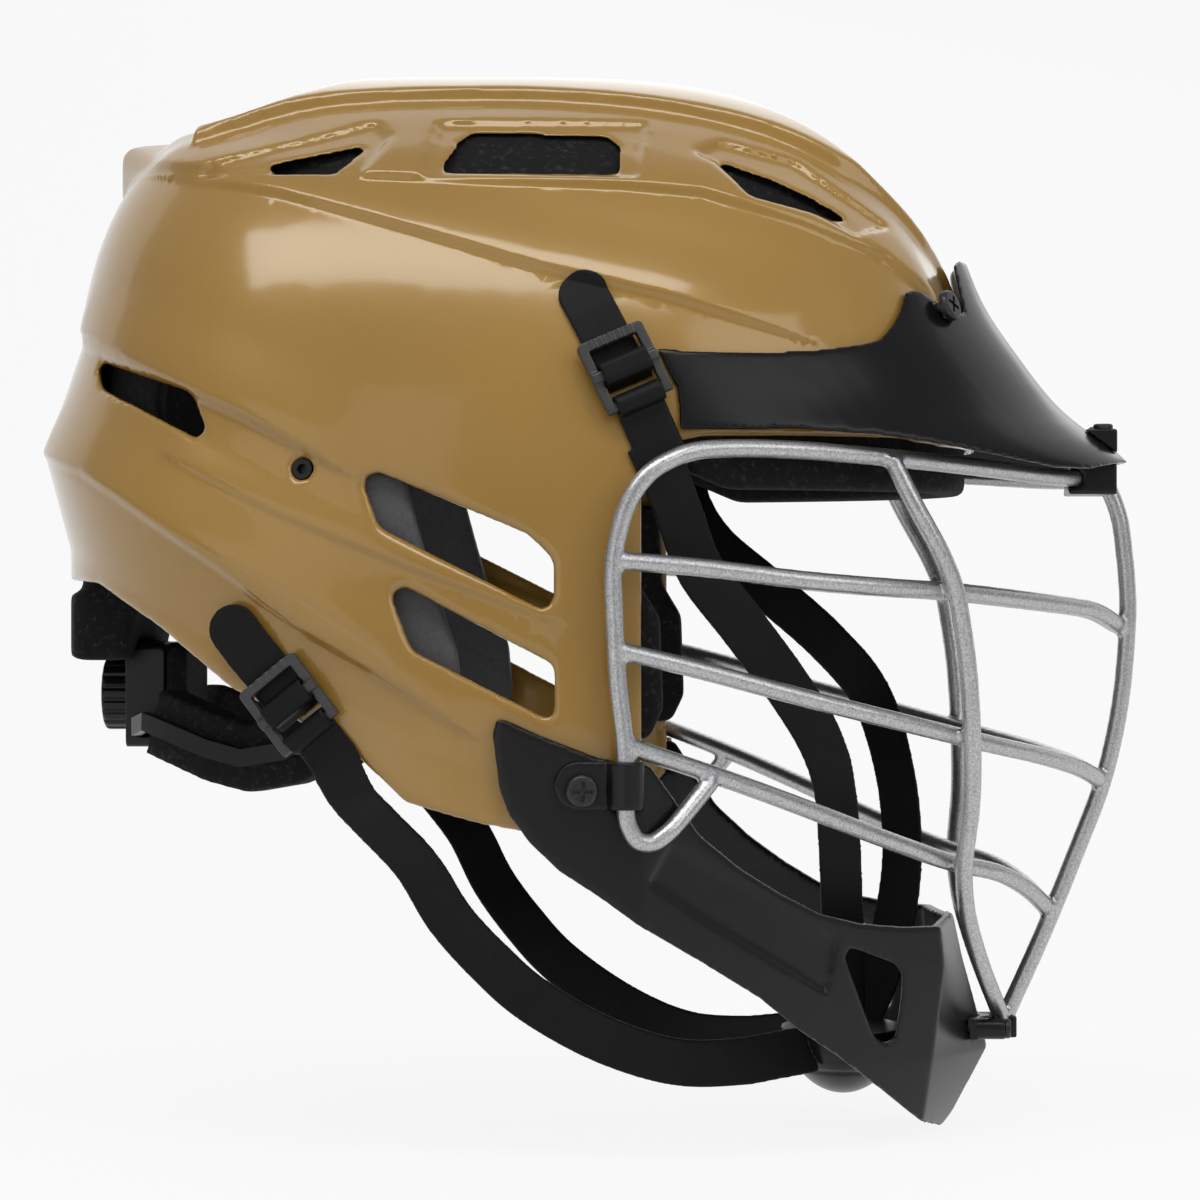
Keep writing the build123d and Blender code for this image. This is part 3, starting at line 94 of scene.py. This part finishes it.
def new_finish(name, sockets):
    """A material, with the shader's sockets that are the same all over the surface."""
    finish = bpy.data.materials.new(name)
    finish.use_nodes = True
    finish.node_tree.nodes.new("ShaderNodeTexCoord").name = "place"
    for socket, value in sockets.items():
        finish.node_tree.nodes["Principled BSDF"].inputs[socket].default_value = value
    return finish


def speckle(finish, scale, detail=2.0, roughness=0.5):
    """A fine random pattern that keeps its place on the piece."""
    nodes = finish.node_tree.nodes
    noise = nodes.new("ShaderNodeTexNoise")
    noise.inputs["Scale"].default_value = scale
    noise.inputs["Detail"].default_value = detail
    noise.inputs["Roughness"].default_value = roughness
    finish.node_tree.links.new(nodes["place"].outputs["Object"], noise.inputs["Vector"])
    return noise.outputs["Fac"]


paper = new_finish("pale_paper", {"Roughness": 0.9})
nodes, links = paper.node_tree.nodes, paper.node_tree.links
tint = nodes.new("ShaderNodeMix")
tint.data_type = "RGBA"
tint.inputs["A"].default_value = paper_dark
tint.inputs["B"].default_value = paper_pale
links.new(speckle(paper, scale=40), tint.inputs["Factor"])
links.new(tint.outputs["Result"], nodes["Principled BSDF"].inputs["Base Color"])
glow = nodes.new("ShaderNodeEmission")
glow.inputs["Color"].default_value = (1, 1, 1, 1)
glow.inputs["Strength"].default_value = 1.0
seen = nodes.new("ShaderNodeLightPath")
either = nodes.new("ShaderNodeMath")
either.operation = "MAXIMUM"
links.new(seen.outputs["Is Camera Ray"], either.inputs[0])
links.new(seen.outputs["Is Glossy Ray"], either.inputs[1])
amount = nodes.new("ShaderNodeMath")
amount.operation = "MULTIPLY"
amount.inputs[1].default_value = paper_shown
links.new(either.outputs[0], amount.inputs[0])
blend = nodes.new("ShaderNodeMixShader")
links.new(amount.outputs[0], blend.inputs["Fac"])
links.new(nodes["Principled BSDF"].outputs["BSDF"], blend.inputs[1])
links.new(glow.outputs["Emission"], blend.inputs[2])
links.new(blend.outputs["Shader"], nodes["Material Output"].inputs["Surface"])
sweep_mesh.materials.append(paper)

world = bpy.data.worlds.new("studio_air")
scene.world = world
world.use_nodes = True
world.node_tree.nodes["Background"].inputs["Color"].default_value = air_colour
world.node_tree.nodes["Background"].inputs["Strength"].default_value = air_strength

for name, spot, aim, size, power in (
    ("top_soft", (-0.15, -0.75, 1.3), (0, 0, 0), (1.7, 0.45), 12),
    ("front_soft", (1.25, -1.0, 0.75), (0.05, 0, -0.05), (1.0, 1.0), 5),
    ("side_soft", (-0.7, -1.6, 0.3), (0, 0, -0.05), (1.3, 1.3), 3),
    ("far_soft", (0.2, 1.4, 0.9), (0, 0, 0), (1.2, 1.2), 3),
):
    lamp = bpy.data.lights.new(name, "AREA")
    lamp.shape = "RECTANGLE"
    lamp.size, lamp.size_y = size
    lamp.energy = power
    holder = bpy.data.objects.new(name, lamp)
    holder.location = spot
    holder.rotation_euler = (Vector(aim) - Vector(spot)).to_track_quat("-Z", "Y").to_euler()
    scene.collection.objects.link(holder)

# Shell: one moulding of thick plastic with a gold gloss paint, inside and out.
# Its edges are rounded in the mould, and soft lines run along its crown and its sides.

shell_faces = 95000
seam_reach = 0.00002
smoothing = 0.5
pearl_share = 0.35
gold_dark = (0.290, 0.158, 0.028)
gold_pale = (0.365, 0.205, 0.040)
gold_shine = (1.0, 0.82, 0.52, 1)


def two_tone(finish, pattern, dark, pale, start=0.0, end=1.0):
    """Colours a finish from dark to pale along a pattern."""
    nodes, links = finish.node_tree.nodes, finish.node_tree.links
    tone = nodes.new("ShaderNodeValToRGB")
    low, high = tone.color_ramp.elements
    low.position, high.position = start, end
    low.color, high.color = (*dark, 1), (*pale, 1)
    links.new(pattern, tone.inputs["Fac"])
    links.new(tone.outputs["Color"], nodes["Principled BSDF"].inputs["Base Color"])


def bumped(finish, pattern, strength, distance):
    """Gives a finish a fine roughness to the touch along a pattern."""
    nodes, links = finish.node_tree.nodes, finish.node_tree.links
    bump = nodes.new("ShaderNodeBump")
    bump.inputs["Strength"].default_value = strength
    bump.inputs["Distance"].default_value = distance
    links.new(pattern, bump.inputs["Height"])
    links.new(bump.outputs["Normal"], nodes["Principled BSDF"].inputs["Normal"])


def moulded(name, solids, voxel, rounds, material, body="helmet", kept=1.0):
    """A piece with rounded edges, moulded over one or more solids of the frame.

    The skin is a grid of voxels, in millimetres, smoothed in rounds, of which a share of the faces is kept.
    """
    melt = bmesh.new()
    for solid in solids:
        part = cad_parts[solid]
        start = len(melt.verts)
        melt.from_mesh(part.data)
        melt.verts.ensure_lookup_table()
        for vert in melt.verts[start:]:
            vert.co = part.matrix_world @ vert.co
    bmesh.ops.remove_doubles(melt, verts=melt.verts, dist=seam_reach)
    mesh = bpy.data.meshes.new(name)
    melt.to_mesh(mesh)
    melt.free()
    piece = bpy.data.objects.new(name, mesh)
    scene.collection.objects.link(piece)
    remesh = piece.modifiers.new("melt", "REMESH")
    remesh.mode = "VOXEL"
    remesh.voxel_size = voxel / 1000
    smooth = piece.modifiers.new("round", "SMOOTH")
    smooth.factor = smoothing
    smooth.iterations = rounds
    if kept < 1:
        fewer = piece.modifiers.new("fewer", "DECIMATE")
        fewer.ratio = kept
    graph = bpy.context.evaluated_depsgraph_get()
    made = bpy.data.meshes.new_from_object(piece.evaluated_get(graph))
    piece.modifiers.clear()
    piece.data = made
    made.name = name
    for face in made.polygons:
        face.use_smooth = True
    made.materials.clear()
    made.materials.append(material)
    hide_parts(*solids)
    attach(piece, body)
    return piece


gold_gloss = new_finish("gold_gloss", {
    "Roughness": 0.3, "Specular Tint": gold_shine, "Coat Weight": 0.9, "Coat Roughness": 0.11})
nodes, links = gold_gloss.node_tree.nodes, gold_gloss.node_tree.links
both = nodes.new("ShaderNodeMix")
both.inputs["Factor"].default_value = pearl_share
links.new(speckle(gold_gloss, scale=9, detail=3), both.inputs["A"])
links.new(speckle(gold_gloss, scale=2600, detail=2), both.inputs["B"])
two_tone(gold_gloss, both.outputs["Result"], gold_dark, gold_pale, start=0.3, end=0.72)
bumped(gold_gloss, speckle(gold_gloss, scale=300), strength=0.02, distance=0.0005)

shell = moulded("shell_moulding", ["shell"], voxel=1.1, rounds=16, material=gold_gloss)

# The lines, in millimetres, with the height of each step, its half breadth and how far above the line it reaches.
panel_lines = (
    ([(-118, 84), (-81, 77), (-13, 75), (43, 73), (68, 71), (99, 62), (125, 52), (144, 38)], 2.2, 1.4, 20),
    ([(-100, 78), (-64, 71), (-20, 58), (19, 46), (58, 37), (95, 26)], 1.8, 1.6, 22),
)
belt_lines = (
    ([(-146, 31), (-99, 12), (-71, 0), (-47, -13)], 2.2, 1.6, 26),
    ([(-150, -8), (-127, -16), (-113, -24), (-79, -46), (-54, -64), (-30, -78), (-8, -92)], 2.2, 1.8, 26),
    ([(-92, -14), (-60, -30), (-20, -46), (20, -61)], 1.4, 1.4, 12),
)
line_overrun = 25
line_fade = 35
spine_half_width = 24
spine_fade = 18
outward_share = (0.35, 1.0, 0.5)
outward_start = (7.0, 0.0, 21.5)


def line_offset(points, x, z):
    """Signed distances of places above a line in the side view."""
    nearest = np.full(len(x), 1e9)
    for (ax, az), (bx, bz) in zip(points, points[1:]):
        run, rise = bx - ax, bz - az
        span = math.hypot(run, rise)
        held = np.clip(((x - ax) * run + (z - az) * rise) / span, 0, span)
        away = np.hypot(x - ax - run * held / span, z - az - rise * held / span)
        signed = np.copysign(away, (z - az) * run - (x - ax) * rise)
        nearest = np.where(away < np.abs(nearest), signed, nearest)
    return nearest


def soft_step(value):
    """Nought below 0 and one above 1, with a soft rise between."""
    value = np.clip(value, 0, 1)
    return value * value * (3 - 2 * value)


def places(mesh):
    """Places of a mesh's vertices in millimetres, a row each."""
    flat = np.empty(3 * len(mesh.vertices), np.float32)
    mesh.vertices.foreach_get("co", flat)
    return flat.reshape(-1, 3).astype(float) * 1000


def moved(mesh, spots):
    """Puts a mesh's vertices at places in millimetres."""
    mesh.vertices.foreach_set("co", (spots / 1000).astype(np.float32).ravel())
    mesh.update()


def raised(piece, lines):
    """Raises a piece's skin on the upper side of lines in the side view, each with a soft step."""
    spots = places(piece.data)
    facing = spots * outward_share + outward_start
    facing /= np.linalg.norm(facing, axis=1)[:, None]
    for points, height, breadth, reach in lines:
        low = min(p[0] for p in points) - line_overrun
        high = max(p[0] for p in points) + line_overrun
        x, y, z = spots.T
        away = line_offset(points, x, z)
        rise = soft_step((away + breadth) / (2 * breadth)) * soft_step((reach - away) / (reach - breadth))
        ends = soft_step((x - low) / line_fade) * soft_step((high - x) / line_fade)
        rise *= ends * soft_step((np.abs(y) - spine_half_width) / spine_fade)
        spots = spots + facing * (height * rise)[:, None]
    moved(piece.data, spots)


raised(shell, panel_lines + belt_lines)
fewer = shell.modifiers.new("fewer", "DECIMATE")
fewer.ratio = shell_faces / len(shell.data.polygons)
made = bpy.data.meshes.new_from_object(shell.evaluated_get(bpy.context.evaluated_depsgraph_get()))
shell.modifiers.clear()
shell.data = made
made.name = "shell_moulding"

# Visor: a thin black plastic moulding with a polished skin.
# It lies over the brow, screwed to the shell at its sides and clipped to the mask at its peak.

black_polish = new_finish("black_polish", {"Roughness": 0.2, "Specular IOR Level": 0.24})
grain = speckle(black_polish, scale=700)
two_tone(black_polish, grain, dark=(0.0035, 0.0035, 0.004), pale=(0.007, 0.007, 0.0075))
bumped(black_polish, grain, strength=0.03, distance=0.0003)
moulded("visor_moulding", ["visor"], voxel=0.75, rounds=14, kept=0.35, material=black_polish)

# Chin guard, chin cup, and the clips that hold the mask to the guard and to the visor.
# They are black nylon with a fine moulded grain, and their edges are a little rounded.

least_roughness = 0.24
most_roughness = 0.36

black_grain = new_finish("black_grain", {"Specular IOR Level": 0.28})
nodes, links = black_grain.node_tree.nodes, black_grain.node_tree.links
grain = speckle(black_grain, scale=1400, detail=3)
two_tone(black_grain, speckle(black_grain, scale=25), dark=(0.004, 0.004, 0.004), pale=(0.010, 0.010, 0.010))
rough = nodes.new("ShaderNodeMapRange")
rough.inputs["To Min"].default_value = least_roughness
rough.inputs["To Max"].default_value = most_roughness
links.new(grain, rough.inputs["Value"])
links.new(rough.outputs["Result"], nodes["Principled BSDF"].inputs["Roughness"])
bumped(black_grain, grain, strength=0.12, distance=0.0003)


def dressed(material, *solids):
    """Gives a material to solids of the frame that keep their own shape."""
    for solid in solids:
        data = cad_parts[solid].data
        data.materials.clear()
        data.materials.append(material)


moulded("chin_guard_moulding", ["chin_guard"], voxel=0.85, rounds=10, kept=0.4, material=black_grain)
for side in ("right", "left"):
    moulded(f"side_clip_moulding_{side}", [f"side_clip_{side}"], voxel=0.5, rounds=3, material=black_grain)
for part_name, voxel in (("chin_cup", 0.7), ("visor_clip", 0.5), ("visor_saddle", 0.6), ("mask_chin_clip", 0.5)):
    moulded(f"{part_name}_moulding", [part_name], voxel, rounds=3, material=black_grain)

# Fit system: a black nylon housing at the nape with a dial, whose pinion drives two toothed bands.
# The pinion and the bands keep their own teeth. The plugs close the round holes in the shell's sides.

moulded("fit_housing_moulding", ["fit_housing"], voxel=0.6, rounds=2, material=black_grain)
moulded("fit_dial_moulding", ["fit_dial"], voxel=0.35, rounds=2, material=black_grain,
        body="fit_dial")
dressed(black_grain, "side_plugs", "fit_pinion", "fit_band_right", "fit_band_left")

# Face mask: round steel wire, bent and welded, in a coarse silver powder coat.
# The wires melt into one piece at their welds.

silver_coat = new_finish("silver_coat", {"Metallic": 0.85, "Roughness": 0.3})
flake = speckle(silver_coat, scale=1500, detail=4, roughness=0.7)
two_tone(silver_coat, flake, dark=(0.26, 0.26, 0.265), pale=(0.66, 0.66, 0.665), start=0.3, end=0.7)
bumped(silver_coat, flake, strength=0.2, distance=0.0003)
wires = [
    "mask_rim", "mask_centre_bar", "mask_side_bar_right", "mask_side_bar_left",
    "mask_row_upper", "mask_row_middle", "mask_row_lower",
]
moulded("mask_welded", wires, voxel=0.85, rounds=4, material=silver_coat)

# Screws and nuts: steel in black oxide, with pan heads and a cross drive.
# They hold the visor, the clips and the dial.

black_oxide = new_finish("black_oxide", {"Metallic": 0.8, "Roughness": 0.4})
two_tone(black_oxide, speckle(black_oxide, scale=900), dark=(0.02, 0.02, 0.02), pale=(0.07, 0.07, 0.07))
dressed(black_oxide, "visor_screws", "visor_clip_screws", "side_clip_screws", "side_clip_nuts",
        "mask_chin_clip_screws", "dial_screw")

# Pads: soft foam under a thin cover, black with pale flecks, and plain grey at the jaw.
# They are stuck to the inside of the shell, the cup, the housing and the bands.

black_foam = new_finish("black_foam", {"Roughness": 0.8, "Specular IOR Level": 0.2})
fleck = speckle(black_foam, scale=420, detail=5, roughness=0.75)
two_tone(black_foam, fleck, dark=(0.006, 0.006, 0.006), pale=(0.035, 0.035, 0.035), start=0.54, end=0.68)
bumped(black_foam, fleck, strength=0.5, distance=0.001)

grey_foam = new_finish("grey_foam", {"Roughness": 0.75})
cell = speckle(grey_foam, scale=900, detail=4)
two_tone(grey_foam, cell, dark=(0.045, 0.045, 0.047), pale=(0.095, 0.095, 0.10))
bumped(grey_foam, cell, strength=0.3, distance=0.0005)

for pad, voxel, rounds in (
    ("crown_liner", 2.0, 14),
    ("brow_pad", 1.6, 12),
    ("rear_liner", 1.8, 12),
    ("nape_pad", 1.4, 8),
    ("fit_pad", 1.0, 10),
    ("chin_cup_pad", 1.0, 8),
    ("side_liner_right", 1.8, 12),
    ("side_liner_left", 1.8, 12),
    ("cheek_pad_right", 1.3, 10),
    ("cheek_pad_left", 1.3, 10),
):
    piece = moulded(f"{pad}_foam", [pad], voxel, rounds, material=black_foam)
for side in ("right", "left"):
    piece = moulded(f"jaw_pad_foam_{side}", [f"jaw_pad_{side}"], voxel=1.3, rounds=10, material=grey_foam)
    piece = moulded(f"fit_wing_foam_{side}", [f"fit_wing_{side}"], voxel=1.2, rounds=14, material=black_foam,
                    body=f"fit_band_{side}")

# Straps: flat coated webbing, near black, with a fine weave under the coat.
# Each loops round a buckle's bar and runs to the chin cup. The short tails pass through the buckles.

webbing = new_finish("coated_webbing", {"Roughness": 0.48, "Specular IOR Level": 0.14})
nodes, links = webbing.node_tree.nodes, webbing.node_tree.links
weave = nodes.new("ShaderNodeTexWave")
weave.inputs["Scale"].default_value = 380
weave.inputs["Distortion"].default_value = 0.6
links.new(nodes["place"].outputs["Object"], weave.inputs["Vector"])
two_tone(webbing, speckle(webbing, scale=60), dark=(0.004, 0.004, 0.004), pale=(0.010, 0.010, 0.010))
bumped(webbing, weave.outputs["Fac"], strength=0.08, distance=0.0002)

# Places along the middle of each strap on the wearer's right, in millimetres, as in the solids.
upper_right_route = [
    (60.5, -103.2, -23.6), (63.1, -98.7, -31.5), (68.8, -92.0, -46.9), (82.2, -80.0, -64.9),
    (96.1, -67.9, -84.2), (106.2, -58.0, -101.7), (110.7, -48.0, -119.6), (112.4, -40.0, -152.0),
    (112.7, -32.9, -180.0), (112.7, -28.0, -200.0),
]
upper_left_route = [
    (60.5, -103.2, -23.6), (64.9, -98.7, -31.5), (72.1, -93.5, -39.9), (88.1, -84.0, -53.1),
    (107.4, -74.0, -70.0), (122.8, -66.0, -88.7), (130.9, -52.4, -114.3), (133.2, -41.6, -141.1),
    (130.3, -36.5, -165.0), (124.0, -31.9, -185.0), (116.0, -28.0, -200.0),
]
lower_route = [
    (-40.5, -114.0, -108.7), (-36.3, -110.4, -116.8), (-30.1, -104.0, -124.4), (-18.5, -95.0, -138.0),
    (-9.0, -87.0, -154.8), (2.6, -78.0, -169.0), (14.7, -70.0, -180.9), (32.3, -60.0, -192.6),
    (49.5, -50.0, -200.5), (64.0, -43.0, -204.0), (79.8, -36.0, -204.2), (92.0, -29.9, -202.7),
    (104.1, -22.8, -201.1),
]


def eased(piece, route):
    """Bends a strap from the straight runs along its route to one smooth curve, all but its loop."""
    stops = np.array(route, float)
    if piece.name.endswith("left"):
        stops[:, 1] *= -1
    ends = np.vstack([2 * stops[0] - stops[1], stops, 2 * stops[-1] - stops[-2]])
    spots = places(piece.data)
    nearest = np.full(len(spots), 1e9)
    shift = np.zeros_like(spots)
    for i in range(len(stops) - 1):
        before, here, there, after = ends[i:i + 4]
        run = there - here
        share = np.clip((spots - here) @ run / (run @ run), 0, 1)[:, None]
        straight = here + run * share
        away = np.linalg.norm(spots - straight, axis=1)
        curve = 0.5 * (2 * here + (there - before) * share
                       + (2 * before - 5 * here + 4 * there - after) * share ** 2
                       + (3 * here - before - 3 * there + after) * share ** 3)
        closer = away < nearest
        nearest[closer] = away[closer]
        shift[closer] = (curve - straight)[closer]
    loop = (spots - stops[0]) @ (stops[1] - stops[0]) < 0
    shift[loop] = 0
    moved(piece.data, spots + shift)


for side, upper_route in (("right", upper_right_route), ("left", upper_left_route)):
    for strap, route in (("upper_chin_strap", upper_route), ("lower_chin_strap", lower_route)):
        piece = moulded(f"{strap}_webbing_{side}", [f"{strap}_{side}"], voxel=0.5, rounds=10, material=webbing)
        eased(piece, route)
    for spot, lines in (("temple", panel_lines), ("rear", belt_lines)):
        piece = moulded(f"{spot}_tail_webbing_{side}", [f"{spot}_tail_{side}"], voxel=0.4, rounds=3,
                        material=webbing, body=f"{spot}_buckle_{side}")
        raised(piece, lines)

# Ladder buckles: dark grey mouldings, one at the temple and one low at the rear on each side.
# Each tips about its round end bar, which the strap's loop holds.

buckle_grey = new_finish("buckle_grey", {"Roughness": 0.36})
grain = speckle(buckle_grey, scale=1200)
two_tone(buckle_grey, grain, dark=(0.022, 0.022, 0.022), pale=(0.045, 0.045, 0.045))
bumped(buckle_grey, grain, strength=0.08, distance=0.0002)
for side in ("right", "left"):
    for spot in ("temple", "rear"):
        moulded(f"{spot}_buckle_moulding_{side}", [f"{spot}_buckle_{side}"], voxel=0.35, rounds=2,
                material=buckle_grey, body=f"{spot}_buckle_{side}")
